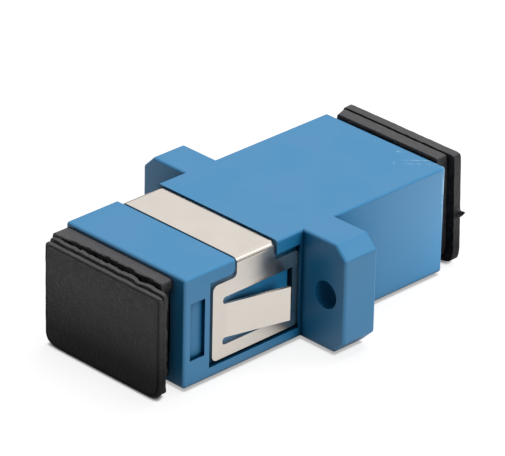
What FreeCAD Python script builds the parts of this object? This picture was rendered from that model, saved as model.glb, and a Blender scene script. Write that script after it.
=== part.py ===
"""Simplex SC fibre adapter with a two-eared flange, a spring clip and a dust plug in each port.

Millimetres. +Y runs along the port axis to the rear port, +X across the ears, +Z up from the base.
The origin is on the base, under the middle of the flange. Each piece is drawn about its own origin,
which is on the port axis, and its Placement then lifts it to the height of that axis.
The two latch inserts are one drawing used twice, back to back, and so are the two dust plugs.
"""
import FreeCAD, Part
import Sketcher
import os
import re

SIZES = {
    # housing: a rectangular tube with two ears
    "body_length": 28.0,
    "body_width": 13.0,
    "body_height": 9.2,
    "edge_round": 0.25,
    "flange_width": 22.1,
    "flange_thickness": 3.4,
    "ear_chamfer": 1.1,
    "hole_margin": 2.05,
    "hole_diameter": 2.3,
    # the passage through it, as an SC plug needs it
    "port_width": 9.1,
    "port_height": 7.5,
    "mouth_chamfer": 0.3,
    "hook_groove_depth": 0.4,
    "hook_groove_height": 4.2,
    "keyway_width": 3.1,
    "keyway_length": 5.0,
    # windows in the side walls that the latch inserts snap into, measured from the flange's middle
    "snap_window_near": 2.0,
    "snap_window_far": 2.85,
    "snap_window_height": 3.5,
    # bare recess for a label, on one side near the front end
    "label_setback": 0.6,
    "label_length": 1.5,
    "label_height": 4.8,
    "label_depth": 0.3,
    # spring clip: sheet folded over the top and down both sides
    "sheet": 0.25,
    "bend_round": 0.25,
    "plate_inset": 0.2,
    "strip_inset": 0.15,
    "plate_gap": 0.3,
    "plate_length": 8.9,
    "plate_base": 1.1,
    "plate_shoulder": 1.7,
    "plate_round": 0.5,
    "plate_rear_round": 0.3,
    "strip_width": 3.95,
    "strip_setback": 2.5,
    "strip_round": 0.4,
    # the tongue that each side plate has cut out and bent outwards
    "rear_bar": 0.55,
    "front_bar": 1.05,
    "tongue_root": 0.3,
    "tongue_length": 5.45,
    "tongue_height": 2.85,
    "tongue_drop": 0.1,
    "tongue_lean": 14.4,
    "tongue_bend_round": 1.2,
    "slit_width": 0.6,
    "slit_round": 0.27,
    # room that the housing's seat leaves round the clip
    "seat_slack_rear": 0.05,
    "seat_slack_front": 0.5,
    "seat_slack_low": 0.2,
    "seat_slack_high": 0.55,
    "seat_round": 0.45,
    "strip_slack_rear": 0.05,
    "strip_slack_front": 0.4,
    "bend_slack": 0.05,
    # split sleeve that lines up the two ferrules
    "sleeve_outer": 3.2,
    "sleeve_bore": 2.5,
    "sleeve_length": 11.4,
    "sleeve_slit": 0.5,
    "sleeve_chamfer": 0.15,
    # latch insert: centre plate, cheeks, hooks and half of the tube round the sleeve
    "insert_gap": 0.05,
    "centre_plate": 1.4,
    "cheek_thickness": 0.9,
    "cheek_height": 6.0,
    "cheek_length": 3.0,
    "barb_height": 0.8,
    "barb_slack": 0.1,
    "hook_length": 8.2,
    "hook_thickness": 0.9,
    "hook_width": 3.2,
    "hook_reach": 0.65,
    "hook_ramp": 0.8,
    "hook_land": 0.4,
    "sleeve_gap": 0.05,
    "tube_wall": 0.7,
    "tube_lip": 0.85,
    "tube_mouth": 2.85,
    "tube_chamfer": 0.25,
    # dust plug: hollow stem in the port, collar on the housing's end, neck and head outside
    "plug_gap": 0.1,
    "stem_length": 5.6,
    "stem_wall": 1.0,
    "stem_round": 0.4,
    "stem_floor": 0.8,
    "collar_side_inset": 0.8,
    "collar_top_inset": 0.45,
    "collar_thickness": 1.05,
    "collar_round": 0.5,
    "neck_inset": 0.5,
    "neck_thickness": 0.45,
    "head_side_inset": 0.35,
    "head_top_inset": 0.2,
    "head_thickness": 0.85,
    "head_round": 0.55,
    "head_edge_round": 0.25,
}

# Places that more than one piece uses, as formulas in the sizes. Heights are from the port axis.
HALF_LENGTH = "body_length / 2"
HALF_WIDTH = "body_width / 2"
HALF_HEIGHT = "body_height / 2"
PLATE_REAR = "(-flange_thickness / 2 - plate_gap)"
PLATE_FRONT = f"({PLATE_REAR} - plate_length)"
PLATE_LOW = f"(-{HALF_HEIGHT} + plate_base)"
PLATE_HIGH = f"({HALF_HEIGHT} - plate_shoulder)"
PLATE_OUTSIDE = f"({HALF_WIDTH} - plate_inset)"
PLATE_INSIDE = f"({PLATE_OUTSIDE} - sheet)"
STRIP_REAR = f"({PLATE_REAR} - strip_setback)"
STRIP_FRONT = f"({STRIP_REAR} - strip_width)"
STRIP_TOP = f"({HALF_HEIGHT} - strip_inset)"
STRIP_UNDERSIDE = f"({STRIP_TOP} - sheet)"
STRIP_SEAT_REAR = f"({STRIP_REAR} + strip_slack_rear)"
STRIP_SEAT_FRONT = f"({STRIP_FRONT} - strip_slack_front)"
SEAT_REAR = f"({PLATE_REAR} + seat_slack_rear)"
SEAT_FRONT = f"({PLATE_FRONT} - seat_slack_front)"
SEAT_LOW = f"({PLATE_LOW} - seat_slack_low)"
SEAT_HIGH = f"({PLATE_HIGH} + seat_slack_high)"
INSERT_SIDE = "(port_width / 2 - insert_gap)"
INSERT_TOP = "(port_height / 2 - insert_gap)"
TUBE_BORE = "(sleeve_outer + 2 * sleeve_gap)"
STEM_SIDE = "(port_width / 2 - plug_gap)"
STEM_TOP = "(port_height / 2 - plug_gap)"
COLLAR_SIDE = f"({HALF_WIDTH} - collar_side_inset)"
COLLAR_TOP = f"({HALF_HEIGHT} - collar_top_inset)"
HEAD_SIDE = f"({HALF_WIDTH} - head_side_inset)"
HEAD_TOP = f"({HALF_HEIGHT} - head_top_inset)"
THIN_WALL = "(body_height - port_height) / 2"
BEYOND = "body_length"

TOUCH = 1e-4

doc = FreeCAD.newDocument("sc_fibre_adapter")
sheet = doc.addObject("Spreadsheet::Sheet", "Sizes")
for row, (alias, number) in enumerate(SIZES.items(), start=1):
    sheet.set(f"A{row}", alias)
    sheet.set(f"B{row}", str(number))
    sheet.setAlias(f"B{row}", alias)
doc.recompute()


def bound(formula):
    """The formula with every size's name pointed at its cell in the sheet."""
    return re.sub(r"[a-z_]+", lambda word: f"Sizes.{word[0]}" if word[0] in SIZES else word[0], formula)


def worth(formula):
    """What a formula comes to with the sheet's present numbers."""
    return float(sheet.evalExpression(bound(formula)))


def new_body(name):
    body = doc.addObject("PartDesign::Body", name)
    body.Label = name
    return body


def sketch_on(body, name, role, offset=None):
    """A sketch on one of the body's own origin planes, or that far along the plane's normal.

    XY_Plane faces +Z, XZ_Plane faces -Y and YZ_Plane faces +X.
    """
    sketch = body.newObject("Sketcher::SketchObject", name)
    plane = next(item for item in body.Origin.OriginFeatures if item.Role == role)
    sketch.AttachmentSupport = [(plane, "")]
    sketch.MapMode = "FlatFace"
    if offset:
        sketch.setExpression("AttachmentOffset.Base.z", bound(offset))
    return sketch


def dimension(sketch, kind, formula, *places):
    """A dimension of the sketch that follows a formula."""
    number = sketch.addConstraint(Sketcher.Constraint(kind, *places, worth(formula)))
    sketch.setExpression(f"Constraints[{number}]", bound(formula))


def outline(sketch, corners):
    """A closed outline of straight lines. Each corner is two formulas, measured from the origin."""
    first = sketch.GeometryCount
    points = [FreeCAD.Vector(worth(across), worth(up), 0) for across, up in corners]
    for start, end in zip(points, points[1:] + points[:1]):
        sketch.addGeometry(Part.LineSegment(start, end))
    for index, (across, up) in enumerate(corners):
        line = first + index
        following = first + (index + 1) % len(corners)
        sketch.addConstraint(Sketcher.Constraint("Coincident", line, 2, following, 1))
        dimension(sketch, "DistanceX", across, -1, 1, line, 1)
        dimension(sketch, "DistanceY", up, -1, 1, line, 1)


def rectangle(sketch, left, right, bottom, top):
    outline(sketch, [(left, bottom), (right, bottom), (right, top), (left, top)])


def centred_rectangle(sketch, half_across, half_up):
    rectangle(sketch, f"-({half_across})", half_across, f"-({half_up})", half_up)


def circle(sketch, across, up, diameter):
    centre = FreeCAD.Vector(worth(across), worth(up), 0)
    ring = sketch.addGeometry(Part.Circle(centre, FreeCAD.Vector(0, 0, 1), worth(diameter) / 2))
    dimension(sketch, "Diameter", diameter, ring)
    dimension(sketch, "DistanceX", across, -1, 1, ring, 3)
    dimension(sketch, "DistanceY", up, -1, 1, ring, 3)


def extrude(body, kind, sketch, length, way):
    """Pad or pocket a sketch: way is along its normal, against it or both (length in all)."""
    before = body.Shape.Volume if body.Tip else 0.0
    feature = body.newObject(f"PartDesign::{kind}", f"{sketch.Name}_{kind.lower()}")
    feature.Profile = sketch
    feature.setExpression("Length", bound(length))
    feature.SideType = "Symmetric" if way == "both" else "One side"
    feature.Reversed = (way == "against") != (kind == "Pocket" and way != "both")
    doc.recompute()
    change = body.Shape.Volume - before
    if (change > TOUCH) != (kind == "Pad") or abs(change) <= TOUCH:
        raise RuntimeError(f"{feature.Name} changed the volume by {change}")
    return feature


def pad(body, sketch, length, way="along"):
    return extrude(body, "Pad", sketch, length, way)


def pocket(body, sketch, length, way="along"):
    return extrude(body, "Pocket", sketch, length, way)


def runs_along(edge, axis):
    """Whether an edge is straight and lies along the x, y or z axis."""
    spans = {"x": edge.BoundBox.XLength, "y": edge.BoundBox.YLength, "z": edge.BoundBox.ZLength}
    return all((span > TOUCH) == (name == axis) for name, span in spans.items())


def near(value, formula):
    return abs(value - worth(formula)) < TOUCH


def smooth(body, kind, name, amount, chosen):
    """Round (Fillet) or bevel (Chamfer) the edges of the body's present shape that a test chooses."""
    base = body.Tip
    edges = [f"Edge{index}" for index, edge in enumerate(base.Shape.Edges, start=1) if chosen(edge)]
    if not edges:
        raise RuntimeError(f"{name} found no edge")
    feature = body.newObject(f"PartDesign::{kind}", name)
    feature.Base = (base, edges)
    feature.setExpression("Radius" if kind == "Fillet" else "Size", bound(amount))
    doc.recompute()
    if "Invalid" in feature.State or feature.Shape.isNull():
        raise RuntimeError(f"{name} could not be made")
    return feature


def place(body, along="0", turned=False):
    """Lift a piece to the port axis, slide it along that axis, and turn it round to face the rear."""
    if turned:
        body.Placement.Rotation = FreeCAD.Rotation(FreeCAD.Vector(0, 0, 1), 180)
    body.setExpression("Placement.Base.y", bound(along))
    body.setExpression("Placement.Base.z", bound(HALF_HEIGHT))


def build_housing():
    """The one-piece moulded housing."""
    body = new_body("housing")

    block = sketch_on(body, "block", "XZ_Plane")
    centred_rectangle(block, HALF_WIDTH, HALF_HEIGHT)
    pad(body, block, "body_length", "both")

    ears = sketch_on(body, "ears", "XZ_Plane")
    side = "flange_width / 2"
    short_side = "(flange_width / 2 - ear_chamfer)"
    short_top = f"({HALF_HEIGHT} - ear_chamfer)"
    outline(ears, [
        (short_side, f"-{HALF_HEIGHT}"), (side, f"-{short_top}"), (side, short_top),
        (short_side, HALF_HEIGHT), (f"-{short_side}", HALF_HEIGHT), (f"-{side}", short_top),
        (f"-{side}", f"-{short_top}"), (f"-{short_side}", f"-{HALF_HEIGHT}"),
    ])
    pad(body, ears, "flange_thickness", "both")

    def is_outer_edge(edge):
        """Every edge but the upright ones in the corners between the body and the ears."""
        middle = edge.BoundBox.Center
        return not (runs_along(edge, "z") and near(abs(middle.x), HALF_WIDTH)
                    and near(abs(middle.y), "flange_thickness / 2"))

    smooth(body, "Fillet", "outer_edges", f"min(edge_round; 0.4 * {THIN_WALL})", is_outer_edge)

    passage = sketch_on(body, "passage", "XZ_Plane")
    centred_rectangle(passage, "port_width / 2", "port_height / 2")
    pocket(body, passage, BEYOND, "both")

    def is_mouth_edge(edge):
        return near(abs(edge.BoundBox.Center.y), HALF_LENGTH) and edge.BoundBox.YLength < TOUCH and (
            near(abs(edge.BoundBox.Center.x), "port_width / 2")
            or near(abs(edge.BoundBox.Center.z), "port_height / 2"))

    smooth(body, "Chamfer", "mouth_lead_in", f"min(mouth_chamfer; 0.4 * {THIN_WALL})", is_mouth_edge)

    grooves = sketch_on(body, "hook_grooves", "XZ_Plane")
    centred_rectangle(grooves, "port_width / 2 + hook_groove_depth", "hook_groove_height / 2")
    pocket(body, grooves, BEYOND, "both")

    keyways = sketch_on(body, "keyways", "XY_Plane")
    inner = f"({HALF_LENGTH} - keyway_length)"
    outer = f"({HALF_LENGTH} + keyway_length)"
    rectangle(keyways, "-keyway_width / 2", "keyway_width / 2", f"-{outer}", f"-{inner}")
    rectangle(keyways, "-keyway_width / 2", "keyway_width / 2", inner, outer)
    pocket(body, keyways, "body_height", "against")

    seat = sketch_on(body, "clip_seat", "YZ_Plane", PLATE_INSIDE)
    outline(seat, [
        (SEAT_FRONT, SEAT_LOW), (SEAT_REAR, SEAT_LOW), (SEAT_REAR, SEAT_HIGH), (STRIP_SEAT_REAR, SEAT_HIGH),
        (STRIP_SEAT_REAR, "body_height"), (STRIP_SEAT_FRONT, "body_height"), (STRIP_SEAT_FRONT, SEAT_HIGH),
        (SEAT_FRONT, SEAT_HIGH),
    ])
    seat_cut = pocket(body, seat, "body_width")
    both_seats = body.newObject("PartDesign::Mirrored", "both_clip_seats")
    both_seats.Originals = [seat_cut]
    middle_plane = next(item for item in body.Origin.OriginFeatures if item.Role == "YZ_Plane")
    both_seats.MirrorPlane = (middle_plane, [""])
    body.Tip = both_seats
    doc.recompute()

    strip_seat = sketch_on(body, "strip_seat", "XY_Plane", STRIP_UNDERSIDE)
    rectangle(strip_seat, "-body_width", "body_width", STRIP_SEAT_FRONT, STRIP_SEAT_REAR)
    pocket(body, strip_seat, "body_height")

    def is_under_the_bend(edge):
        middle = edge.BoundBox.Center
        return runs_along(edge, "y") and near(abs(middle.x), PLATE_INSIDE) and near(middle.z, STRIP_UNDERSIDE)

    smooth(body, "Fillet", "under_the_bend", "bend_round + bend_slack", is_under_the_bend)

    def is_seat_corner(edge):
        middle = edge.BoundBox.Center
        return runs_along(edge, "x") and near(middle.y, STRIP_SEAT_FRONT) and near(middle.z, SEAT_HIGH)

    smooth(body, "Fillet", "seat_corner", "seat_round", is_seat_corner)

    label = sketch_on(body, "label_recess", "YZ_Plane", f"{HALF_WIDTH} - label_depth")
    rectangle(label, f"-{HALF_LENGTH} + label_setback", f"-{HALF_LENGTH} + label_setback + label_length",
              "-label_height / 2", "label_height / 2")
    pocket(body, label, "body_width")

    windows = sketch_on(body, "snap_windows", "YZ_Plane")
    for ends in (("-snap_window_far", "-snap_window_near"), ("snap_window_near", "snap_window_far")):
        rectangle(windows, *ends, "-snap_window_height / 2", "snap_window_height / 2")
    pocket(body, windows, "2 * body_width", "both")

    holes = sketch_on(body, "flange_holes", "XZ_Plane")
    circle(holes, "-(flange_width / 2 - hole_margin)", "0", "hole_diameter")
    circle(holes, "flange_width / 2 - hole_margin", "0", "hole_diameter")
    pocket(body, holes, "2 * flange_thickness", "both")

    place(body)
    return body


def build_spring_clip():
    """Stainless sheet folded into an upside-down U: a strip over the top and a plate on each side."""
    body = new_body("spring_clip")

    section = sketch_on(body, "folded_section", "XZ_Plane", f"-{PLATE_REAR}")
    outline(section, [
        (f"-{PLATE_OUTSIDE}", PLATE_LOW), (f"-{PLATE_INSIDE}", PLATE_LOW),
        (f"-{PLATE_INSIDE}", STRIP_UNDERSIDE), (PLATE_INSIDE, STRIP_UNDERSIDE), (PLATE_INSIDE, PLATE_LOW),
        (PLATE_OUTSIDE, PLATE_LOW), (PLATE_OUTSIDE, STRIP_TOP), (f"-{PLATE_OUTSIDE}", STRIP_TOP),
    ])
    pad(body, section, "plate_length")

    def is_bend(side, height):
        return lambda edge: (runs_along(edge, "y") and near(abs(edge.BoundBox.Center.x), side)
                             and near(edge.BoundBox.Center.z, height))

    smooth(body, "Fillet", "bend_inside", "bend_round", is_bend(PLATE_INSIDE, STRIP_UNDERSIDE))
    smooth(body, "Fillet", "bend_outside", "bend_round + sheet", is_bend(PLATE_OUTSIDE, STRIP_TOP))

    trim = sketch_on(body, "strip_trim", "YZ_Plane")
    rectangle(trim, f"{PLATE_FRONT} - 1", STRIP_FRONT, PLATE_HIGH, "body_height")
    rectangle(trim, STRIP_REAR, f"{PLATE_REAR} + 1", PLATE_HIGH, "body_height")
    pocket(body, trim, "2 * body_width", "both")

    def is_corner(*corners):
        """Edges through the sheet at the given corners of the side plates."""
        return lambda edge: runs_along(edge, "x") and any(
            near(edge.BoundBox.Center.y, along) and near(edge.BoundBox.Center.z, up) for along, up in corners)

    smooth(body, "Fillet", "front_corners", "plate_round",
           is_corner((PLATE_FRONT, PLATE_LOW), (PLATE_FRONT, PLATE_HIGH)))
    smooth(body, "Fillet", "rear_corners", "plate_rear_round",
           is_corner((PLATE_REAR, PLATE_LOW), (PLATE_REAR, PLATE_HIGH)))
    smooth(body, "Fillet", "strip_corners", "strip_round", is_corner((STRIP_FRONT, PLATE_HIGH)))

    middle = f"(({PLATE_LOW} + {PLATE_HIGH}) / 2 - tongue_drop)"
    tongue_low = f"({middle} - tongue_height / 2)"
    tongue_high = f"({middle} + tongue_height / 2)"
    slit_end = f"({PLATE_FRONT} + front_bar)"
    root = f"({slit_end} + tongue_root)"
    window_end = f"({PLATE_REAR} - rear_bar)"
    window = sketch_on(body, "tongue_window", "YZ_Plane")
    outline(window, [
        (window_end, f"{tongue_high} + slit_width"), (slit_end, f"{tongue_high} + slit_width"),
        (slit_end, tongue_high), (root, tongue_high), (root, tongue_low), (slit_end, tongue_low),
        (slit_end, f"{tongue_low} - slit_width"), (window_end, f"{tongue_low} - slit_width"),
    ])
    pocket(body, window, "2 * body_width", "both")
    smooth(body, "Fillet", "slit_ends", "slit_round", is_corner(
        (slit_end, f"{tongue_high} + slit_width"), (slit_end, tongue_high),
        (slit_end, tongue_low), (slit_end, f"{tongue_low} - slit_width")))

    tongues = sketch_on(body, "tongues", "XY_Plane", middle)
    tip = f"({root} + tongue_length)"
    tip_outside = f"({PLATE_OUTSIDE} + tongue_length * tan(tongue_lean))"
    for sign in ("-", ""):
        outline(tongues, [
            (f"{sign}{PLATE_INSIDE}", root), (f"{sign}{PLATE_OUTSIDE}", root), (f"{sign}{tip_outside}", tip),
            (f"{sign}({tip_outside} - sheet * cos(tongue_lean))", f"{tip} + sheet * sin(tongue_lean)"),
        ])
    pad(body, tongues, "tongue_height", "both")

    def is_tongue_bend(edge):
        middle_point = edge.BoundBox.Center
        return (runs_along(edge, "z") and near(middle_point.y, root)
                and near(abs(middle_point.x), PLATE_OUTSIDE) and near(middle_point.z, middle))

    smooth(body, "Fillet", "tongue_bend", "tongue_bend_round", is_tongue_bend)

    place(body)
    return body


def build_latch_insert(name, turned):
    """The moulded piece that holds a plug: drawn with its back on y = 0 and its hooks towards -Y."""
    body = new_body(name)

    plate = sketch_on(body, f"{name}_plate", "XZ_Plane")
    centred_rectangle(plate, INSERT_SIDE, INSERT_TOP)
    pad(body, plate, "centre_plate")

    cheeks = sketch_on(body, f"{name}_cheeks", "XZ_Plane")
    for ends in ((f"-{INSERT_SIDE}", f"-({INSERT_SIDE} - cheek_thickness)"),
                 (f"{INSERT_SIDE} - cheek_thickness", INSERT_SIDE)):
        rectangle(cheeks, *ends, "-cheek_height / 2", "cheek_height / 2")
    pad(body, cheeks, "cheek_length")

    tube = sketch_on(body, f"{name}_tube", "XZ_Plane")
    circle(tube, "0", "0", f"{TUBE_BORE} + 2 * tube_wall")
    pad(body, tube, "sleeve_length / 2 + sleeve_gap + tube_lip")

    hooks = sketch_on(body, f"{name}_hooks", "XY_Plane")
    hook_inside = f"({INSERT_SIDE} - hook_thickness)"
    for sign in ("-", ""):
        outline(hooks, [
            (f"{sign}{hook_inside}", "0"), (f"{sign}{INSERT_SIDE}", "0"),
            (f"{sign}{INSERT_SIDE}", "-hook_length"), (f"{sign}{hook_inside}", "-hook_length"),
            (f"{sign}({hook_inside} - hook_reach)", "-hook_length + hook_ramp"),
            (f"{sign}({hook_inside} - hook_reach)", "-hook_length + hook_ramp + hook_land"),
            (f"{sign}{hook_inside}", "-hook_length + hook_ramp + hook_land"),
        ])
    pad(body, hooks, "hook_width", "both")

    barbs = sketch_on(body, f"{name}_barbs", "XY_Plane")
    for sign in ("-", ""):
        outline(barbs, [
            (f"{sign}{INSERT_SIDE}", "-snap_window_near - barb_slack"),
            (f"{sign}({INSERT_SIDE} + barb_height)", "-snap_window_far"),
            (f"{sign}{INSERT_SIDE}", "-snap_window_far"),
        ])
    pad(body, barbs, "snap_window_height - 2 * barb_slack", "both")

    bore = sketch_on(body, f"{name}_bore", "XZ_Plane")
    circle(bore, "0", "0", TUBE_BORE)
    pocket(body, bore, "sleeve_length / 2 + sleeve_gap")

    mouth = sketch_on(body, f"{name}_mouth", "XZ_Plane")
    circle(mouth, "0", "0", "tube_mouth")
    pocket(body, mouth, BEYOND)

    def is_tube_tip(edge):
        return isinstance(edge.Curve, Part.Circle) and near(
            edge.Curve.Center.y, "-(sleeve_length / 2 + sleeve_gap + tube_lip)")

    smooth(body, "Chamfer", f"{name}_tip", "tube_chamfer", is_tube_tip)

    place(body, turned=turned)
    return body


def build_sleeve():
    """The split zirconia sleeve, its slit upwards."""
    body = new_body("alignment_sleeve")
    ring = sketch_on(body, "sleeve_ring", "XZ_Plane")
    circle(ring, "0", "0", "sleeve_outer")
    circle(ring, "0", "0", "sleeve_bore")
    pad(body, ring, "sleeve_length", "both")
    smooth(body, "Chamfer", "sleeve_ends", "sleeve_chamfer",
           lambda edge: isinstance(edge.Curve, Part.Circle) and near(edge.Curve.Radius, "sleeve_outer / 2"))
    slit = sketch_on(body, "sleeve_slit_cut", "XZ_Plane")
    rectangle(slit, "-sleeve_slit / 2", "sleeve_slit / 2", "0", "sleeve_outer")
    pocket(body, slit, "2 * sleeve_length", "both")
    place(body)
    return body


def build_dust_plug(name, turned):
    """A soft plug, drawn with its collar's seat on y = 0, its stem towards +Y and its head towards -Y."""
    body = new_body(name)

    stem = sketch_on(body, f"{name}_stem", "XZ_Plane")
    centred_rectangle(stem, STEM_SIDE, STEM_TOP)
    pad(body, stem, "stem_length", "against")
    smooth(body, "Fillet", f"{name}_stem_edges", "stem_round", lambda edge: runs_along(edge, "y"))

    collar = sketch_on(body, f"{name}_collar", "XZ_Plane")
    centred_rectangle(collar, COLLAR_SIDE, COLLAR_TOP)
    pad(body, collar, "collar_thickness")

    neck = sketch_on(body, f"{name}_neck", "XZ_Plane", "collar_thickness")
    centred_rectangle(neck, f"{COLLAR_SIDE} - neck_inset", f"{COLLAR_TOP} - neck_inset")
    pad(body, neck, "neck_thickness")

    head = sketch_on(body, f"{name}_head", "XZ_Plane", "collar_thickness + neck_thickness")
    centred_rectangle(head, HEAD_SIDE, HEAD_TOP)
    pad(body, head, "head_thickness")

    def is_upright_corner(side):
        return lambda edge: runs_along(edge, "y") and near(abs(edge.BoundBox.Center.x), side)

    smooth(body, "Fillet", f"{name}_collar_corners", "collar_round", is_upright_corner(COLLAR_SIDE))
    smooth(body, "Fillet", f"{name}_head_corners", "head_round", is_upright_corner(HEAD_SIDE))

    def is_head_rim(edge):
        return edge.BoundBox.YLength < TOUCH and near(
            edge.BoundBox.Center.y, "-(collar_thickness + neck_thickness + head_thickness)")

    smooth(body, "Fillet", f"{name}_head_rim", "head_edge_round", is_head_rim)

    hollow = sketch_on(body, f"{name}_hollow", "XZ_Plane", "-stem_length")
    centred_rectangle(hollow, f"{STEM_SIDE} - stem_wall", f"{STEM_TOP} - stem_wall")
    pocket(body, hollow, "stem_length + stem_floor")

    place(body, HALF_LENGTH if turned else f"-{HALF_LENGTH}", turned)
    return body


pieces = [
    build_housing(),
    build_spring_clip(),
    build_latch_insert("latch_insert_front", turned=False),
    build_latch_insert("latch_insert_rear", turned=True),
    build_sleeve(),
    build_dust_plug("dust_plug_front", turned=False),
    build_dust_plug("dust_plug_rear", turned=True),
]
doc.recompute()

for item in doc.Objects:
    if {"Invalid", "Error"} & set(item.State):
        raise RuntimeError(f"{item.Label} did not compute")
for piece in pieces:
    if piece.Shape.isNull() or not piece.Shape.isValid() or len(piece.Shape.Solids) != 1:
        raise RuntimeError(f"{piece.Label} is not one valid solid")

os.makedirs("parts", exist_ok=True)
for piece in pieces:
    piece.Shape.exportStep(f"parts/{piece.Label}.step")
    box = piece.Shape.BoundBox
    print(f"{piece.Label}: {piece.Shape.Volume:.2f} mm3, x {box.XMin:.2f}..{box.XMax:.2f}, "
          f"y {box.YMin:.2f}..{box.YMax:.2f}, z {box.ZMin:.2f}..{box.ZMax:.2f}")
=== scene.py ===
# %% [markdown]
# # Dressing a flanged SC fibre adapter
#
# The adapter is a thumb-sized part: a blue moulded housing with two ears, a folded steel spring clip,
# and a black dust plug in each end. Its solids come from a CAD file and stay exactly where they are.
# This lesson gives each of them the surface that its real material has, and adds what a CAD model
# leaves out, such as the ragged moulding flash on the soft plugs.

# %% Load the fixed frame
import math
from collections import namedtuple

import bpy
import numpy as np
from mathutils import Matrix, Vector


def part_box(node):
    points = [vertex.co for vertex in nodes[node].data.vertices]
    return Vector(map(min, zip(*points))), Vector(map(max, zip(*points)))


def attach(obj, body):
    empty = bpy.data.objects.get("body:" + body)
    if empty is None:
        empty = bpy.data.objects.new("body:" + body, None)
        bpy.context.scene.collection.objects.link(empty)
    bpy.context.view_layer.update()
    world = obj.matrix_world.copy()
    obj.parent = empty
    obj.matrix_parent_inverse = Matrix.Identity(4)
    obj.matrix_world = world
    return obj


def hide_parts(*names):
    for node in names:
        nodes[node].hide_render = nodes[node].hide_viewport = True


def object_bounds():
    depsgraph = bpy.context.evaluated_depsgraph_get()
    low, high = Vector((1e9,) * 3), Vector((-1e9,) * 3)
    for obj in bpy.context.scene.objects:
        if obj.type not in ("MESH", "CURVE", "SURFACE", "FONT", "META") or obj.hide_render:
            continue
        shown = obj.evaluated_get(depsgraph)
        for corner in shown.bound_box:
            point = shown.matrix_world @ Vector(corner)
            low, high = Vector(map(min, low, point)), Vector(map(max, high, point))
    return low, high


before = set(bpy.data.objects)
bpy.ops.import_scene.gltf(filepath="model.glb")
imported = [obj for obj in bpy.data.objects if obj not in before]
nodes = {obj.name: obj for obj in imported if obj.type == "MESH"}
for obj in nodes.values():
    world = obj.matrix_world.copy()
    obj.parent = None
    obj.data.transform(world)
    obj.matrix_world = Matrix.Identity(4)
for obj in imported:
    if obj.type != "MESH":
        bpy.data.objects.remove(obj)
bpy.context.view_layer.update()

MM = 0.001
print("solids:", sorted(nodes))

# %% [markdown]
# ## The camera
#
# A product picture is taken from far away with a long lens, so that parallel edges stay nearly parallel.
# The camera is placed by two angles and a distance from the middle of the housing, and then turned a
# little about its own axis. Two small offsets slide it to the side and up, which sets the part in the
# frame. Working the place out from angles keeps the view easy to understand and to change.

# %% Camera
VIEW_TURN = math.radians(44.873)
VIEW_HEIGHT = math.radians(27.280)
VIEW_ROLL = math.radians(1.270)
VIEW_DISTANCE = 326.50 * MM
LENS = 302.6
AIM_RIGHT = -0.386 * MM
AIM_UP = 1.457 * MM
NEAREST_SEEN = 10 * MM

housing_low, housing_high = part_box("housing")
middle = (housing_low + housing_high) / 2

back = Vector((math.sin(VIEW_TURN) * math.cos(VIEW_HEIGHT), -math.cos(VIEW_TURN) * math.cos(VIEW_HEIGHT),
               math.sin(VIEW_HEIGHT)))
level = Vector((math.cos(VIEW_TURN), math.sin(VIEW_TURN), 0))
rise = back.cross(level)
right = math.cos(VIEW_ROLL) * level + math.sin(VIEW_ROLL) * rise
up = back.cross(right)

camera_data = bpy.data.cameras.new("camera")
camera_data.lens = LENS
camera_data.clip_start = NEAREST_SEEN
camera = bpy.data.objects.new("camera", camera_data)
bpy.context.scene.collection.objects.link(camera)
camera.matrix_world = Matrix((right, up, back)).transposed().to_4x4()
camera.location = middle + VIEW_DISTANCE * back + AIM_RIGHT * right + AIM_UP * up
bpy.context.scene.camera = camera
bpy.context.scene.view_settings.view_transform = "Standard"
print("camera stands at", [round(x, 3) for x in camera.location])

# %% [markdown]
# ## Helpers for materials
#
# A colour is written as the hex value that a paint chart would give, which is sRGB, while shaders work
# in linear light. One function turns the first into the second. A second function adds a node to a
# material with all its settings and links at once, so that each recipe below reads in order.
# A Mix node keeps its two numbers at inputs 2 and 3, and its two colours at inputs 6 and 7. Every pattern
# is laid out in real millimetres: a noise whose Scale is 1 / size has spots of that size.

# %% Colour and node helpers
NOISE_SPAN = (0.3, 0.7)  # nearly all values of a noise lie between these


def linear(code, alpha=1.0):
    """sRGB hex to linear: each channel c becomes ((c + 0.055) / 1.055) ^ 2.4, or c / 12.92 when dark."""
    channels = [int(code[i:i + 2], 16) / 255 for i in (1, 3, 5)]
    return (*[((c + 0.055) / 1.055) ** 2.4 if c > 0.04045 else c / 12.92 for c in channels], alpha)


def add(tree, kind, sockets=None, **settings):
    """Adds one shader node. settings are its own properties; sockets are its inputs, values or links."""
    made = tree.nodes.new("ShaderNode" + kind)
    for name, value in settings.items():
        setattr(made, name, value)
    for name, value in (sockets or {}).items():
        if isinstance(value, bpy.types.NodeSocket):
            tree.links.new(value, made.inputs[name])
        else:
            made.inputs[name].default_value = value
    return made


def new_material(name):
    """An empty node material, its output node, and a vector output that measures its object in mm."""
    material = bpy.data.materials.new(name)
    material.use_nodes = True
    tree = material.node_tree
    tree.nodes.clear()
    output = add(tree, "OutputMaterial")
    metres = add(tree, "TexCoord").outputs["Object"]
    millimetres = add(tree, "VectorMath", {0: metres, 1: (1 / MM,) * 3}, operation="MULTIPLY").outputs[0]
    return material, tree, output, millimetres


def dress(name, material):
    """Gives a CAD node the one material."""
    mesh = nodes[name].data
    mesh.materials.clear()
    mesh.materials.append(material)
    print(name, "wears", material.name)


print("mid grey #808080 in linear light:", [round(c, 3) for c in linear("#808080")[:3]])

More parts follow.
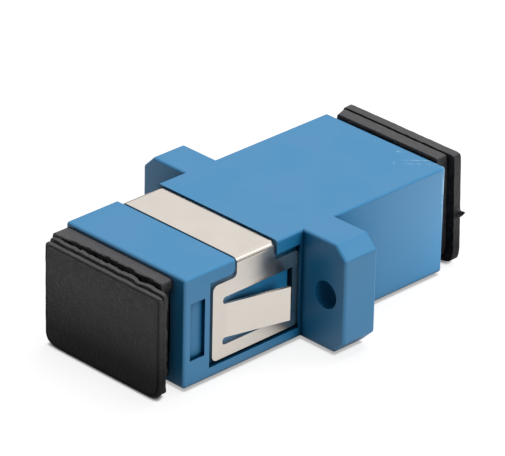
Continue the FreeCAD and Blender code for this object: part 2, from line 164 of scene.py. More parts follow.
# %% [markdown]
# ## Blue moulded housing
#
# The housing is injection-moulded PBT in the standard blue of a single-mode adapter. PBT comes out of a
# polished mould with a satin skin, which gives the eye a clear hue, a soft highlight, and very faint
# clouds where the melt flowed. Handling leaves a few pale scuffs, and the pale strip down the rear upright
# edge is partly rubbed wear and partly a painted highlight of its rounded edge. Each mark is a thin ellipse
# measured in millimetres from a chosen point, which keeps it sharp at any render size.
#
# Little light finds its way into the gap round the clip or the corner behind an ear, and that shade is
# painted into the surface: Ambient Occlusion measures how closed a spot is, the blue is painted towards
# navy there and its specular level is lowered, a painted shade in colour and sheen, so the seams read as
# crisp dark lines. A short reach finds the gaps, and a long one, which looks at the housing alone, finds
# its corners.

# %% Blue PBT: colours and sizes
PBT_BLUE = linear("#2485BB")
PBT_FLOW_BLUE = linear("#2889BE")
# pale scuffs, and a painted highlight along the rear upright edge
PBT_SCUFF_AND_HIGHLIGHT_BLUE = linear("#A6D2EA")
# painted shade: the navy that the blue is painted towards in gaps and corners
PBT_PAINTED_GAP_SHADE = linear("#03253E")
PBT_IOR = 1.55
PBT_SATIN = (0.36, 0.46)  # roughness, as the flow clouds go
FLOW_CLOUD_MM = 5.0
MOULD_GRAIN_MM = 0.14  # the real grain is finer and would not show, so it is drawn coarser
MOULD_GRAIN_DEPTH = 0.02 * MM
SCUFF_AND_HIGHLIGHT_BREAK_MM = 0.35
SCUFF_AND_HIGHLIGHT_BREAKS = (0.34, 0.54)  # the noise values between which a pale mark breaks up
SCUFF_AND_HIGHLIGHT_STRENGTH = 0.85
SKY_RAYS = 6  # rays that feel for open sky from each point
GAP_REACH = 0.9 * MM
GAP_OPENS = (0.46, 0.90)  # the openness that counts as a closed gap, and as open skin
CORNER_REACH = 6.0 * MM
CORNER_OPENS = (0.40, 0.95)
CORNER_SHADE = 0.5  # share of the blue that the deepest corner keeps under the painted shade
SHEEN_OPENS = (0.62, 0.96)
PBT_SHEEN = (0.02, 0.88)  # specular level, from a corner to open skin, lowered in corners as painted shade
print("PBT blue in linear light:", [round(c, 3) for c in PBT_BLUE[:3]])


# %% Blue PBT: the recipe
def ellipse_mask(tree, place, centre, along, length, width):
    """1 on a thin ellipse about centre: (distance along / length)^2 + (distance across / width)^2 < 1."""
    offset = add(tree, "VectorMath", {0: place, 1: centre}, operation="SUBTRACT").outputs[0]
    along = Vector(along).normalized()
    run = add(tree, "VectorMath", {0: offset, 1: along}, operation="DOT_PRODUCT").outputs["Value"]
    reach = add(tree, "VectorMath", {0: offset}, operation="LENGTH").outputs["Value"]
    run_squared = add(tree, "Math", {0: run, 1: 2.0}, operation="POWER").outputs[0]
    reach_squared = add(tree, "Math", {0: reach, 1: 2.0}, operation="POWER").outputs[0]
    across_squared = add(tree, "Math", {0: reach_squared, 1: run_squared}, operation="SUBTRACT").outputs[0]
    run_part = add(tree, "Math", {0: run_squared, 1: length ** 2}, operation="DIVIDE").outputs[0]
    across_part = add(tree, "Math", {0: across_squared, 1: width ** 2}, operation="DIVIDE").outputs[0]
    spread = add(tree, "Math", {0: run_part, 1: across_part}, operation="ADD").outputs[0]
    return add(tree, "Math", {0: 1.0, 1: spread}, operation="SUBTRACT", use_clamp=True).outputs[0]


def blue_pbt(scuffs_and_highlight):
    """Satin blue. Colour = flow clouds, then the pale marks of wear and of painted edge highlight where
    their noise leaves them whole, then painted navy shade where shade = gap * corner is low. Sheen falls in
    the corners as painted shade, and roughness drifts with the clouds."""
    material, tree, output, place = new_material("blue_pbt_satin")
    cloud = add(tree, "TexNoise", {
        "Vector": place, "Scale": 1 / FLOW_CLOUD_MM, "Detail": 3.0, "Roughness": 0.45}).outputs["Fac"]
    flowed = add(tree, "Mix", {"Factor": cloud, 6: PBT_BLUE, 7: PBT_FLOW_BLUE}, data_type="RGBA").outputs[2]

    marks = 0.0
    for pale_mark in scuffs_and_highlight:
        mark = ellipse_mask(tree, place, *pale_mark)
        marks = add(tree, "Math", {0: marks, 1: mark}, operation="MAXIMUM").outputs[0]
    broken = add(tree, "TexNoise", {"Vector": place, "Scale": 1 / SCUFF_AND_HIGHLIGHT_BREAK_MM, "Detail": 2.0})
    whole = add(tree, "MapRange", {
        "Value": broken.outputs["Fac"], "From Min": SCUFF_AND_HIGHLIGHT_BREAKS[0], "From Max": SCUFF_AND_HIGHLIGHT_BREAKS[1],
        "To Max": SCUFF_AND_HIGHLIGHT_STRENGTH}).outputs[0]
    scuffed_and_lit = add(tree, "Math", {0: marks, 1: whole}, operation="MULTIPLY").outputs[0]
    worn_and_lit = add(tree, "Mix", {"Factor": scuffed_and_lit, 6: flowed, 7: PBT_SCUFF_AND_HIGHLIGHT_BLUE}, data_type="RGBA").outputs[2]

    # painted shade: how closed each spot is paints the blue towards navy and lowers its sheen
    near_sky = add(tree, "AmbientOcclusion", {"Distance": GAP_REACH}, samples=SKY_RAYS).outputs["AO"]
    own_sky = add(tree, "AmbientOcclusion", {"Distance": CORNER_REACH}, samples=SKY_RAYS,
                  only_local=True).outputs["AO"]
    gap = add(tree, "MapRange", {
        "Value": near_sky, "From Min": GAP_OPENS[0], "From Max": GAP_OPENS[1]}).outputs[0]
    corner = add(tree, "MapRange", {
        "Value": own_sky, "From Min": CORNER_OPENS[0], "From Max": CORNER_OPENS[1],
        "To Min": CORNER_SHADE}).outputs[0]
    shade = add(tree, "Math", {0: gap, 1: corner}, operation="MULTIPLY").outputs[0]
    colour = add(tree, "Mix", {"Factor": shade, 6: PBT_PAINTED_GAP_SHADE, 7: worn_and_lit}, data_type="RGBA").outputs[2]

    sheen = add(tree, "MapRange", {
        "Value": own_sky, "From Min": SHEEN_OPENS[0], "From Max": SHEEN_OPENS[1],
        "To Min": PBT_SHEEN[0], "To Max": PBT_SHEEN[1]}).outputs[0]
    gloss = add(tree, "MapRange", {
        "Value": cloud, "From Min": NOISE_SPAN[0], "From Max": NOISE_SPAN[1],
        "To Min": PBT_SATIN[0], "To Max": PBT_SATIN[1]}).outputs[0]
    grain = add(tree, "TexNoise", {"Vector": place, "Scale": 1 / MOULD_GRAIN_MM, "Detail": 2.0})
    skin = add(tree, "Bump", {
        "Height": grain.outputs["Fac"], "Strength": 0.06, "Distance": MOULD_GRAIN_DEPTH}).outputs[0]
    shader = add(tree, "BsdfPrincipled", {
        "Base Color": colour, "Roughness": gloss, "IOR": PBT_IOR,
        "Specular IOR Level": sheen, "Normal": skin})
    tree.links.new(shader.outputs[0], output.inputs["Surface"])
    return material


# %% Dress the housing
SIDE_FACE_MM = 6.5  # the housing's box takes in its ears, so the side of its body is given here
rear_end_mm, top_face_mm = housing_high.y / MM, housing_high.z / MM
SCUFFS_AND_EDGE_HIGHLIGHT = (
    # centre, direction, half length, half width, all in mm
    ((2.2, rear_end_mm - 0.8, top_face_mm), (1.0, 0.3, 0), 0.28, 0.12),
    ((3.3, rear_end_mm - 2.5, top_face_mm), (1.0, -1.0, 0), 0.35, 0.09),
    ((4.3, rear_end_mm - 0.8, top_face_mm), (1.0, 1.0, 0), 1.7, 0.055),
    ((4.9, rear_end_mm - 1.1, top_face_mm), (1.0, 1.0, 0), 1.9, 0.055),
    # the upright edge at the rear end, pale along its length: partly rubbed wear, and partly a
    #     # painted highlight of its rounded edge
    ((SIDE_FACE_MM - 0.05, rear_end_mm - 0.08, 7.6), (0, 0, 1.0), 4.2, 0.32),
)
dress("housing", blue_pbt(SCUFFS_AND_EDGE_HIGHLIGHT))
print("scuffs:", len(SCUFFS_AND_EDGE_HIGHLIGHT))

# %% [markdown]
# ## Stainless spring clip
#
# The clip is cold-rolled stainless sheet, a quarter of a millimetre thick, pressed and folded. Rolling
# leaves a fine grain in one direction and a satin sheen, so the metal mirrors the white table as a soft
# warm grey, the dark ear beside it as a smoky patch, and the dim far wall as the thin line under the
# bend. All three come from reflections, not from paint.

# %% Rolled stainless steel
ROLLED_STEEL = linear("#E3DBD2")
STEEL_SATIN = (0.20, 0.28)
SHEEN_CLOUD_MM = 2.0
ROLLING_GRAIN_MM = (0.05, 1.6, 1.6)  # real rolling lines are finer, so they are drawn coarser to show
ROLLING_GRAIN_DEPTH = 0.01 * MM


def rolled_stainless():
    """Satin metal: a noise stretched by ROLLING_GRAIN_MM is its bump, soft clouds vary its roughness."""
    material, tree, output, place = new_material("rolled_stainless_satin")
    stretched = add(tree, "Mapping", {
        "Vector": place, "Scale": tuple(1 / size for size in ROLLING_GRAIN_MM)})
    grain = add(tree, "TexNoise", {"Vector": stretched.outputs[0], "Scale": 1.0, "Detail": 2.0})
    cloud = add(tree, "TexNoise", {"Vector": place, "Scale": 1 / SHEEN_CLOUD_MM, "Detail": 2.0})
    gloss = add(tree, "MapRange", {
        "Value": cloud.outputs["Fac"], "From Min": NOISE_SPAN[0], "From Max": NOISE_SPAN[1],
        "To Min": STEEL_SATIN[0], "To Max": STEEL_SATIN[1]})
    bump = add(tree, "Bump", {
        "Height": grain.outputs["Fac"], "Strength": 0.05, "Distance": ROLLING_GRAIN_DEPTH})
    shader = add(tree, "BsdfPrincipled", {
        "Base Color": ROLLED_STEEL, "Metallic": 1.0, "Roughness": gloss.outputs[0],
        "Normal": bump.outputs[0]})
    tree.links.new(shader.outputs[0], output.inputs["Surface"])
    return material


dress("spring_clip", rolled_stainless())

# %% [markdown]
# ## Soft black dust plugs
#
# The plugs are moulded from a soft black elastomer. It has a dull skin with a mottled bloom, as such
# rubber gets. Its colour is painted darker towards the table, a painted shade, and its specular level is
# lowered there, a painted darker reflection, so it reads as very dark grey above and keeps its deep, quiet
# black near the table. Height above the table therefore steers how much bloom and sheen there is. Faces
# that look up are painted lighter, partly as dust and partly as painted light from above.

# %% Black elastomer
RUBBER_DARK = linear("#121113")
RUBBER_BLOOM = linear("#302E30")
# dust, and a painted light that lightens faces turned up
RUBBER_DUST_AND_TOP_LIGHT = linear("#535254")
RUBBER_IOR = 1.45
RUBBER_DULL = (0.44, 0.66)  # roughness, from clean rubber to bloom
RUBBER_SHEEN = (0.12, 0.5)  # specular level, from near the table up: lowered low down as painted reflection shade
SHEEN_HEIGHTS_MM = (1.5, 6.0)
BLOOM_MM = 0.5
BLOOM_STARTS = (0.36, 0.70)  # the noise values between which bloom sets in
BLOOM_LOW = 0.45  # share of the bloom that is left near the table: painted shade, darker towards the bottom
PAINTED_SHADE_HEIGHTS_MM = (0.5, 6.5)
DUST_AND_LIGHT_FACES = (0.6, 0.95)  # upward part of the face's direction, from none to most of the dust and painted top light
DUST_AND_LIGHT_SHARE = 0.8
RUBBER_GRAIN_MM = 0.22  # the skin's real pits are finer, so they are drawn coarser to show
RUBBER_GRAIN_DEPTH = 0.10 * MM


def black_elastomer():
    """Dull near-black. Bloom = noise * height, where the height part is painted shade; dust and painted top
    light = how far the face looks up; roughness rises with the bloom, the specular level with height as
    painted reflection shade, and a fine noise pits the skin."""
    material, tree, output, place = new_material("black_elastomer_bloom_dust_and_painted_light")
    bloom = add(tree, "TexNoise", {
        "Vector": place, "Scale": 1 / BLOOM_MM, "Detail": 4.0, "Roughness": 0.65})
    height = add(tree, "SeparateXYZ", {0: place}).outputs["Z"]
    # painted shade: less bloom near the table, so the rubber is darker towards the bottom
    painted_height_shade = add(tree, "MapRange", {
        "Value": height, "From Min": PAINTED_SHADE_HEIGHTS_MM[0], "From Max": PAINTED_SHADE_HEIGHTS_MM[1],
        "To Min": BLOOM_LOW}).outputs[0]
    patch = add(tree, "MapRange", {
        "Value": bloom.outputs["Fac"], "From Min": BLOOM_STARTS[0], "From Max": BLOOM_STARTS[1],
        "To Max": painted_height_shade}).outputs[0]
    bloom_and_height_shade = add(tree, "Mix", {
        "Factor": patch, 6: RUBBER_DARK, 7: RUBBER_BLOOM}, data_type="RGBA").outputs[2]
    facing = add(tree, "SeparateXYZ", {0: add(tree, "NewGeometry").outputs["Normal"]}).outputs["Z"]
    # dust and painted top light on faces that look up
    upward_dust_and_light = add(tree, "MapRange", {
        "Value": facing, "From Min": DUST_AND_LIGHT_FACES[0], "From Max": DUST_AND_LIGHT_FACES[1],
        "To Max": DUST_AND_LIGHT_SHARE}).outputs[0]
    dust_and_top_light = add(tree, "Mix", {"Factor": upward_dust_and_light, 6: bloom_and_height_shade, 7: RUBBER_DUST_AND_TOP_LIGHT}, data_type="RGBA").outputs[2]
    grain = add(tree, "TexNoise", {"Vector": place, "Scale": 1 / RUBBER_GRAIN_MM, "Detail": 4.0})
    skin = add(tree, "Bump", {
        "Height": grain.outputs["Fac"], "Strength": 0.7, "Distance": RUBBER_GRAIN_DEPTH})
    dull = add(tree, "MapRange", {"Value": patch, "To Min": RUBBER_DULL[0], "To Max": RUBBER_DULL[1]})
    # painted reflection shade: the specular level falls towards the table
    sheen = add(tree, "MapRange", {
        "Value": height, "From Min": SHEEN_HEIGHTS_MM[0], "From Max": SHEEN_HEIGHTS_MM[1],
        "To Min": RUBBER_SHEEN[0], "To Max": RUBBER_SHEEN[1]})
    shader = add(tree, "BsdfPrincipled", {
        "Base Color": dust_and_top_light, "Roughness": dull.outputs[0], "IOR": RUBBER_IOR,
        "Specular IOR Level": sheen.outputs[0], "Normal": skin.outputs[0]})
    tree.links.new(shader.outputs[0], output.inputs["Surface"])
    return material


elastomer = black_elastomer()
print("both plugs will wear", elastomer.name)

# %% [markdown]
# ## The plugs' own form
#
# A soft plug is never as true as the drawing: its head sags under its own softness, its collar sits
# askew, and the mould leaves a ragged skin of flash along the rims. Both plugs are therefore made again
# as one closed skin each, a rounded rectangle carried along the plug from the middle of its face, over
# the rims, down the stem and back up inside the hollow. Each ring below is one step of that profile.
#
# A ring's first five numbers are millimetres: `out` from the housing's end, and `left`, `right`, `bottom`
# and `top` from the housing's axis. `corner` is the exponent that squares its corners, as explained
# below. The last three are shares of an effect: `ragged` for the flash, `flare` for the left side that
# stands away from the housing, and `pinch` for the right side that is drawn in below the collar's top.

# %% The rings of each plug
Ring = namedtuple("Ring", "out left right bottom top corner ragged flare pinch")

FRONT_RINGS = [
    # the face, a fine notch round it, and the rim: the head hangs low, so it sits low in every ring
    Ring(2.36, -6.02, 6.00, -4.58, 3.48, 40, 0.0, 0.0, 0.0),
    Ring(2.24, -6.10, 6.08, -4.66, 3.56, 40, 0.0, 0.0, 0.0),
    Ring(2.30, -6.16, 6.14, -4.72, 3.62, 40, 0.3, 0.0, 0.0),
    Ring(2.29, -6.26, 6.24, -4.82, 3.72, 40, 0.3, 0.0, 0.0),
    Ring(2.22, -6.31, 6.29, -4.87, 3.77, 40, 0.3, 0.0, 0.0),
    Ring(1.98, -6.31, 6.29, -4.87, 3.77, 40, 0.8, 0.0, 0.0),
    # a ragged lip of flash stands up behind the rim
    Ring(1.92, -6.22, 6.20, -4.80, 3.66, 40, 1.2, 0.0, 0.0),
    Ring(1.84, -6.25, 6.24, -4.82, 3.96, 40, 1.6, 0.0, 0.0),
    Ring(1.52, -6.28, 6.22, -4.84, 4.00, 40, 2.4, 0.0, 0.0),
    # the groove behind the head
    Ring(1.42, -5.70, 4.90, -4.10, 3.20, 30, 1.4, 0.0, 0.0),
    Ring(1.18, -5.70, 4.80, -3.90, 3.20, 30, 0.6, 0.5, 0.4),
    # the collar, pushed towards the left, and its seat on the housing
    Ring(1.14, -6.30, 5.18, -4.05, 4.18, 40, 1.0, 1.0, 1.0),
    Ring(1.06, -6.37, 5.24, -4.12, 4.25, 40, 0.4, 1.0, 1.0),
    Ring(0.06, -6.37, 5.24, -4.12, 4.25, 40, 0.1, 0.0, 1.0),
    Ring(0.00, -6.31, 5.18, -4.06, 4.19, 40, 0.0, 0.0, 1.0),
    # the hollow stem in the port
    Ring(0.00, -4.45, 4.45, -3.65, 3.65, 40, 0.0, 0.0, 0.0),
    Ring(-5.50, -4.45, 4.45, -3.65, 3.65, 40, 0.0, 0.0, 0.0),
    Ring(-5.60, -4.36, 4.36, -3.56, 3.56, 40, 0.0, 0.0, 0.0),
    Ring(-5.60, -3.53, 3.53, -2.73, 2.73, 40, 0.0, 0.0, 0.0),
    Ring(-5.52, -3.45, 3.45, -2.65, 2.65, 40, 0.0, 0.0, 0.0),
    Ring(0.80, -3.45, 3.45, -2.65, 2.65, 40, 0.0, 0.0, 0.0),
]

REAR_RINGS = [
    # the face, its notch and the rim
    Ring(2.37, -5.90, 5.80, -4.38, 4.55, 40, 0.0, 0.0, 0.0),
    Ring(2.27, -5.97, 5.87, -4.46, 4.62, 40, 0.0, 0.0, 0.0),
    Ring(2.33, -6.04, 5.94, -4.52, 4.68, 40, 0.2, 0.0, 0.0),
    Ring(2.31, -6.12, 6.02, -4.62, 4.78, 40, 0.2, 0.0, 0.0),
    Ring(2.24, -6.16, 6.07, -4.68, 4.83, 40, 0.3, 0.0, 0.0),
    Ring(1.51, -6.12, 6.07, -4.68, 4.80, 40, 0.5, 0.0, 0.0),
    # a narrow slot on the right and on top, then the collar and its seat on the housing
    Ring(1.47, -6.08, 5.20, -4.00, 4.36, 30, 0.4, 0.0, 0.0),
    Ring(1.42, -6.04, 5.20, -4.00, 4.36, 30, 0.4, 0.0, 0.0),
    Ring(1.38, -6.00, 5.40, -4.15, 4.70, 40, 0.5, 0.0, 0.0),
    Ring(1.30, -5.98, 5.45, -4.20, 4.75, 40, 0.3, 0.0, 0.0),
    Ring(0.31, -5.66, 5.40, -4.20, 4.74, 40, 0.1, 0.0, 0.0),
    Ring(0.24, -5.60, 5.40, -4.14, 4.64, 40, 0.0, 0.0, 0.0),
    # the hollow stem in the port
    Ring(0.24, -4.45, 4.45, -3.65, 3.65, 40, 0.0, 0.0, 0.0),
    Ring(-5.15, -4.45, 4.45, -3.65, 3.65, 40, 0.0, 0.0, 0.0),
    Ring(-5.25, -4.36, 4.36, -3.56, 3.56, 40, 0.0, 0.0, 0.0),
    Ring(-5.25, -3.53, 3.53, -2.73, 2.73, 40, 0.0, 0.0, 0.0),
    Ring(-5.17, -3.45, 3.45, -2.65, 2.65, 40, 0.0, 0.0, 0.0),
    Ring(0.80, -3.45, 3.45, -2.65, 2.65, 40, 0.0, 0.0, 0.0),
]
print("rings:", len(FRONT_RINGS), "and", len(REAR_RINGS))

# %% [markdown]
# ## From rings to a full profile
#
# The rings are only the turning points of the profile. Between them, more rings are placed by even
# steps, so that the ragged rims have points to move, and rings that shrink to the middle close both
# ends. The ragged line itself is random noise with its fast waves taken out, so that it wanders round a
# rim and meets itself again.

# %% A ragged line and a full profile
AROUND = 400  # points in a ring
RING_STEP = 0.14  # mm along the profile
FACE_RINGS = 14  # steps from the middle of an end to its first ring
FACE_DISH = -0.05  # mm that the face's middle stands out, so here it is dished


def waves_round(seed, fastest):
    """Random numbers round a ring with their fast waves faded out: a smooth, closed, ragged line."""
    spectrum = np.fft.rfft(np.random.default_rng(seed).normal(size=AROUND))
    spectrum *= np.exp(-(np.arange(len(spectrum)) / fastest) ** 2)
    line = np.fft.irfft(spectrum, AROUND)
    return line / line.std()


def fine_profile(rings):
    """The rings with more between them: every column is read at even steps along the profile's length."""
    table = np.array(rings, float)
    run = np.concatenate([[0], np.cumsum(np.hypot(np.diff(table[:, 0]), np.diff(table[:, 4])))])
    wanted = [np.linspace(a, b, max(2, int((b - a) / RING_STEP) + 2))[:-1]
              for a, b in zip(run[:-1], run[1:])]
    steps = np.concatenate(wanted + [run[-1:]])
    return np.stack([np.interp(steps, run, column) for column in table.T], axis=1)


def shrunk(ring, shares, bulge):
    """Copies of a ring drawn in to its middle by each share s, and moved out by bulge * (1 - s^2)."""
    middle_x = (ring[1] + ring[2]) / 2
    middle_z = (ring[3] + ring[4]) / 2
    centre = np.array([ring[0], middle_x, middle_x, middle_z, middle_z, ring[5], 0, 0, 0])
    rings = centre + shares[:, None] * (ring - centre)
    rings[:, 0] += bulge * (1 - shares ** 2)
    return rings


def capped(profile):
    """The profile with shrinking rings at both ends, as the face and the hollow's floor."""
    shares = np.linspace(0, 1, FACE_RINGS, endpoint=False)[1:]
    return np.concatenate([shrunk(profile[0], shares, FACE_DISH), profile,
                           shrunk(profile[-1], shares[::-1], 0)])


print("rings after filling in:", [len(capped(fine_profile(rings))) for rings in (FRONT_RINGS, REAR_RINGS)])

# %% [markdown]
# ## Rings as points
#
# A rounded rectangle needs no arcs: the curve |x / side|^n + |z / top|^n = 1 is a circle at n = 2 and
# comes ever nearer to a rectangle as n grows. The lower corners get a smaller n, because the heads are
# rounder below. The ragged line then moves each ring's points, and four slow bends follow: the head
# lies flat where it meets the table, the collar flares out on the left and is drawn in on the right,
# and the rear head leans. The rear head also keeps the stub of its moulding gate, torn off at the side.

# %% Points of a skin
LOWER_CORNERS = 0.3  # share of the exponent n below the middle
FLASH_HEIGHT = 0.018  # mm that the ragged line moves a point sideways where ragged is 1
FLASH_ALONG = 1.2 * FLASH_HEIGHT  # and along the plug
FLASH_WAVES = 60  # waves round a ring past which the sideways line fades
FLASH_WAVES_ALONG = 45  # and the one along the plug
LOWEST = -0.27  # mm in the frame, the height of the flat on which a head lies
FLARE_OUT = 0.40  # mm
PINCH_IN = 0.45  # mm
FILM_DEPTH = 0.6  # mm of the collar's top that stays wide, and the same again to draw it in
LEAN_PIVOT = 0.25  # share of the head's height, from its top, at which the lean leaves it in place
STUB_OUT = 0.85  # mm
STUB_RISE = 0.5  # share of that by which its tip points up
STUB_AT = 1.92  # mm out from the housing's end
STUB_TALL = 0.28  # mm above and below its middle
STUB_LONG = 0.22  # mm either way along the plug
STUB_SIDE = 0.5  # the stub grows only where the ring looks this far to the right


def skin_points(rings, outward, seed, lean, stub_height):
    """Ring i, angle t sits at centre_i + (x, z), where (x, z) lies in the direction of t on the curve
    |x / side_i|^n + |z / top_i|^n = 1, moved out by the ragged line times the ring's raggedness."""
    profile = capped(fine_profile(rings))
    out, left, right, bottom, top, corner, ragged, flare, pinch = (column[:, None] for column in profile.T)
    angle = np.linspace(0, 2 * math.pi, AROUND, endpoint=False)[None, :]
    across, high = np.cos(angle), np.sin(angle)
    power = np.where(high < 0, LOWER_CORNERS * corner, corner)
    side, tall = (right - left) / 2, (top - bottom) / 2
    reach = (np.abs(across / side) ** power + np.abs(high / tall) ** power) ** (-1 / power)
    flash = FLASH_HEIGHT * ragged * waves_round(seed, FLASH_WAVES)[None, :]
    x = (left + right) / 2 + (reach + flash) * across
    z = np.maximum((bottom + top) / 2 + (reach + flash) * high, LOWEST - middle.z / MM)
    y = out + FLASH_ALONG * ragged * waves_round(seed + 1, FLASH_WAVES_ALONG)[None, :]
    y += FLARE_OUT * flare * np.clip(-x / side, 0, 1) ** 2
    x -= PINCH_IN * pinch * np.clip(x / side, 0, 1) * np.clip((top - FILM_DEPTH - z) / FILM_DEPTH, 0, 1)
    x += lean * np.clip(out, 0, 1) * np.clip(x / side, 0, 1) * ((top - z) / (top - bottom) - LEAN_PIVOT)
    if stub_height is not None:
        away = ((z - stub_height) / STUB_TALL) ** 2 + ((out - STUB_AT) / STUB_LONG) ** 2
        stub = np.exp(-away) * (across > STUB_SIDE)
        x += STUB_OUT * stub
        z += STUB_RISE * STUB_OUT * stub ** 2
    end = housing_low.y if outward < 0 else housing_high.y
    return np.stack([x * MM, end + outward * y * MM, middle.z + z * MM], axis=-1).reshape(-1, 3)


raggedest = max(ring.ragged for ring in FRONT_RINGS + REAR_RINGS)
print("the ragged line moves the raggedest rim by about", round(FLASH_HEIGHT * raggedest, 3), "mm")

# %% [markdown]
# ## Points as one closed skin
#
# Four-sided faces join each ring to the next, and a fan of triangles closes the first and the last ring
# on a point at its middle. The faces have to look outwards. A solid's signed volume tells: it is positive
# when they do. The front plug points the other way along the housing, which mirrors its shape, so its
# faces are turned round.

# %% A plug's skin
SHARP_EDGE = math.radians(40)


def closed_faces(count, outward):
    """Face k of ring i joins points k and k + 1 of rings i and i + 1; two fans close the ends."""
    ring, place = np.meshgrid(np.arange(count - 1), np.arange(AROUND), indexing="ij")
    here = ring * AROUND + place
    beside = ring * AROUND + (place + 1) % AROUND
    quads = np.stack([here, beside, beside + AROUND, here + AROUND], axis=-1).reshape(-1, 4)
    around = np.arange(AROUND)
    following = (around + 1) % AROUND
    first_pole, last_pole = count * AROUND, count * AROUND + 1
    last = (count - 1) * AROUND
    first_fan = np.stack([np.full(AROUND, first_pole), following, around], axis=-1)
    last_fan = np.stack([np.full(AROUND, last_pole), last + around, last + following], axis=-1)
    parts = [quads, first_fan, last_fan]
    if outward < 0:
        parts = [part[:, ::-1] for part in parts]
    return [face for part in parts for face in part.tolist()]


def signed_volume(mesh):
    """Six times the volume is the sum over triangles of a . (b x c): positive when faces point outwards."""
    mesh.calc_loop_triangles()
    corners = np.empty(len(mesh.vertices) * 3)
    mesh.vertices.foreach_get("co", corners)
    triangles = np.empty(len(mesh.loop_triangles) * 3, int)
    mesh.loop_triangles.foreach_get("vertices", triangles)
    a, b, c = corners.reshape(-1, 3)[triangles.reshape(-1, 3)].transpose(1, 0, 2)
    return float(np.einsum("ij,ij->i", a, np.cross(b, c)).sum() / 6)


def plug_skin(name, rings, outward, seed, lean=0.0, stub_height=None):
    """One closed skin: the rings' points, a pole at the mean of the first and of the last ring, and faces.
    lean is how many mm further out the right side stands at the head's bottom than at its top."""
    points = skin_points(rings, outward, seed, lean, stub_height)
    poles = np.stack([points[:AROUND].mean(axis=0), points[-AROUND:].mean(axis=0)])
    mesh = bpy.data.meshes.new(name)
    mesh.from_pydata(np.concatenate([points, poles]), [], closed_faces(len(points) // AROUND, outward))
    mesh.shade_smooth()
    mesh.set_sharp_from_angle(angle=SHARP_EDGE)
    skin = bpy.data.objects.new(name, mesh)
    bpy.context.scene.collection.objects.link(skin)
    mesh.materials.append(elastomer)
    volume = signed_volume(mesh) / MM ** 3
    print(name, len(mesh.polygons), "faces, signed volume", round(volume, 1), "mm3")
    return skin


# %% Both plugs
front_skin = plug_skin("front_plug_skin", FRONT_RINGS, outward=-1, seed=11)
rear_skin = plug_skin("rear_plug_skin", REAR_RINGS, outward=1, seed=23, lean=0.34, stub_height=-0.25)
skins = ((front_skin, "front_plug", "dust_plug_front"), (rear_skin, "rear_plug", "dust_plug_rear"))
for skin, body, node in skins:
    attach(skin, body)
    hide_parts(node)

# %% [markdown]
# ## What is inside
#
# Pull a plug and the latch insert shows: natural, undyed PBT, a warm off-white that light enters a
# little way, which gives the eye soft edges. In its tube sits the zirconia sleeve, fired and ground
# ceramic, whiter and much glossier, so it catches small sharp lights.

# %% Natural PBT and zirconia
PBT_NATURAL = linear("#E4E0D2")
PBT_NATURAL_FLOW = linear("#D9D4C3")
NATURAL_CLOUD_MM = 5 / 3
NATURAL_SATIN = 0.42
NATURAL_GLOW_REACH = (0.6 * MM, 0.5 * MM, 0.35 * MM)  # how far red, green and blue light go in
ZIRCONIA_WHITE = linear("#F2F0EA")
ZIRCONIA_IOR = 2.1
ZIRCONIA_GLOSS = (0.10, 0.18)
GRINDING_MM = 1 / 6  # real grinding marks are far finer, so they are drawn coarser to show


def natural_pbt():
    """Warm off-white: two tints mixed by a soft cloud, with a little light scattered below the skin."""
    material, tree, output, place = new_material("natural_pbt")
    cloud = add(tree, "TexNoise", {"Vector": place, "Scale": 1 / NATURAL_CLOUD_MM, "Detail": 2.0})
    tint = add(tree, "Mix", {
        "Factor": cloud.outputs["Fac"], 6: PBT_NATURAL, 7: PBT_NATURAL_FLOW}, data_type="RGBA").outputs[2]
    shader = add(tree, "BsdfPrincipled", {
        "Base Color": tint, "Roughness": NATURAL_SATIN, "IOR": PBT_IOR,
        "Subsurface Weight": 0.2, "Subsurface Scale": 1.0, "Subsurface Radius": NATURAL_GLOW_REACH})
    tree.links.new(shader.outputs[0], output.inputs["Surface"])
    return material


def fired_zirconia():
    """Glossy white ceramic, whose roughness varies with a fine noise, as grinding leaves it."""
    material, tree, output, place = new_material("fired_zirconia")
    ground = add(tree, "TexNoise", {"Vector": place, "Scale": 1 / GRINDING_MM, "Detail": 1.0})
    gloss = add(tree, "MapRange", {
        "Value": ground.outputs["Fac"], "To Min": ZIRCONIA_GLOSS[0], "To Max": ZIRCONIA_GLOSS[1]})
    shader = add(tree, "BsdfPrincipled", {
        "Base Color": ZIRCONIA_WHITE, "Roughness": gloss.outputs[0], "IOR": ZIRCONIA_IOR})
    tree.links.new(shader.outputs[0], output.inputs["Surface"])
    return material


natural = natural_pbt()
dress("latch_insert_front", natural)
dress("latch_insert_rear", natural)
dress("alignment_sleeve", fired_zirconia())

# %% [markdown]
# ## The table
#
# The part lies on a small white table. The table's own colour lights the underside of everything on it,
# and a glow that only the camera and reflections see lifts it to clean white without lighting the part.
# Right under the part the glow is held back, which leaves a short contact shadow, and reflections see a
# slightly dimmer table with a softer shadow.

# %% White table
TABLE_PALE = linear("#888888")
TABLE_GLOW = 0.84
TABLE_MIRROR = 0.66  # the same glow as reflections see it
CONTACT_REACH = 0.32 * MM
CONTACT_DEPTH = 2.4  # exponent that deepens the contact shadow
SHADE_REACH = 2.0 * MM
TABLE_HALF = 0.09
TABLE_CLEARANCE = 0.001 * MM  # keeps the table's face apart from the part's lowest ones


def seen_directly(tree):
    """1 for camera, glossy and transmission rays, which see the clean white, and 0 for the rest."""
    path = add(tree, "LightPath").outputs
    seen = add(tree, "Math", {0: path["Is Camera Ray"], 1: path["Is Glossy Ray"]}, operation="MAXIMUM")
    seen = add(tree, "Math", {0: seen.outputs[0], 1: path["Is Transmission Ray"]}, operation="MAXIMUM")
    return seen.outputs[0]


